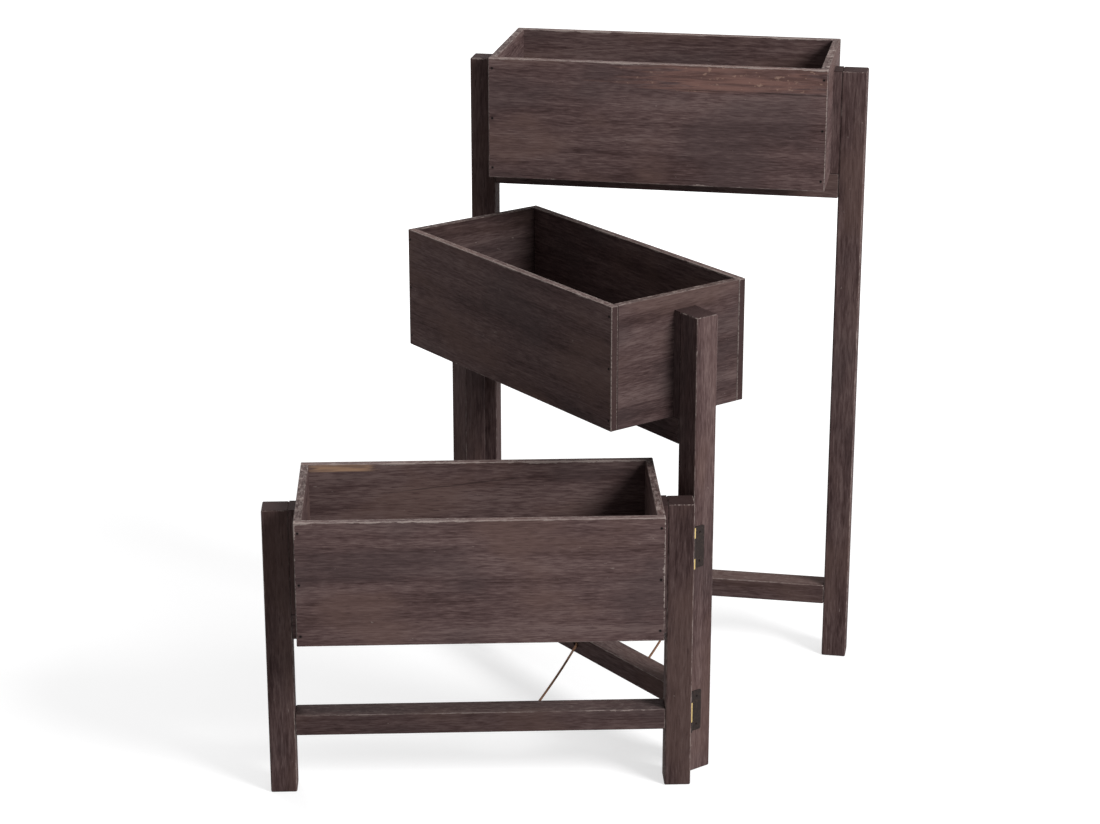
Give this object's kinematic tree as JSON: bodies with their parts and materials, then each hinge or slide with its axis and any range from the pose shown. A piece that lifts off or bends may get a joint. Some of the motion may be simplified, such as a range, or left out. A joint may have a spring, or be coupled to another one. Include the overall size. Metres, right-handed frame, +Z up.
{
  "type": "folding plant stand",
  "caption": "Free-standing stepped plant stand of hinged wooden frames in a zigzag, each carrying an open planter box; folds flat on butt hinges, with twine stays that limit the opening.",
  "frame": {"origin": "on the floor, at the middle of the open stand's plan", "axes": "+Z up; the low frame's length lies along X and its front faces -Y"},
  "size_m": [0.7148, 0.6296, 0.774],
  "materials": {
    "stained_wood": "dark brown stain, matte, edges worn lighter",
    "bare_wood": "raw",
    "brass": "satin",
    "dark_bronze": "dark brown stain over metal",
    "steel": "dulled",
    "twine": "twisted natural fibre"
  },
  "bodies": {
    "mid_frame": {"front_bottom_hinge_mid_leaf": "dark_bronze", "front_bottom_hinge_pin": "steel", "front_top_hinge_mid_leaf": "dark_bronze", "front_twine": "twine", "mid_box_back": "stained_wood", "mid_box_floor": "stained_wood", "mid_box_front": "stained_wood", "mid_box_left_end": "stained_wood", "mid_box_nails": "steel", "mid_box_right_end": "stained_wood", "mid_box_screws": "steel", "mid_box_support": "stained_wood", "mid_cleats": "stained_wood", "mid_dowels": "bare_wood", "mid_hinge_screws": "steel", "mid_left_post": "stained_wood", "mid_right_post": "stained_wood", "mid_stretcher": "stained_wood", "rear_bottom_hinge_mid_leaf": "dark_bronze", "rear_bottom_hinge_pin": "steel", "rear_top_hinge_mid_leaf": "dark_bronze", "rear_twine": "twine"},
    "low_frame": {"front_bottom_hinge_low_leaf": "brass", "front_top_hinge_low_leaf": "brass", "front_top_hinge_pin": "steel", "low_box_back": "stained_wood", "low_box_floor": "stained_wood", "low_box_front": "stained_wood", "low_box_left_end": "stained_wood", "low_box_nails": "steel", "low_box_right_end": "stained_wood", "low_box_screws": "steel", "low_box_support": "stained_wood", "low_cleats": "stained_wood", "low_dowels": "bare_wood", "low_hinge_screws": "steel", "low_left_post": "stained_wood", "low_right_post": "stained_wood", "low_stretcher": "stained_wood"},
    "tall_frame": {"rear_bottom_hinge_tall_leaf": "brass", "rear_top_hinge_pin": "steel", "rear_top_hinge_tall_leaf": "brass", "tall_box_back": "stained_wood", "tall_box_floor": "stained_wood", "tall_box_front": "stained_wood", "tall_box_left_end": "stained_wood", "tall_box_nails": "steel", "tall_box_right_end": "stained_wood", "tall_box_screws": "steel", "tall_box_support": "stained_wood", "tall_cleats": "stained_wood", "tall_dowels": "bare_wood", "tall_hinge_screws": "steel", "tall_left_post": "stained_wood", "tall_right_post": "stained_wood", "tall_stretcher": "stained_wood"}
  },
  "joints": [
    {"name": "front_fold", "type": "hinge", "parent": "mid_frame", "child": "low_frame", "pos_m": [0.12425, -0.19561, 0], "axis": [0, 0, 1], "range_deg": [-56, 0], "deforming": ["front_twine"]},
    {"name": "rear_fold", "type": "hinge", "parent": "mid_frame", "child": "tall_frame", "pos_m": [-0.1192, 0.22327, 0], "axis": [0, 0, 1], "range_deg": [-43.5, 0], "deforming": ["rear_twine"]}
  ]
}
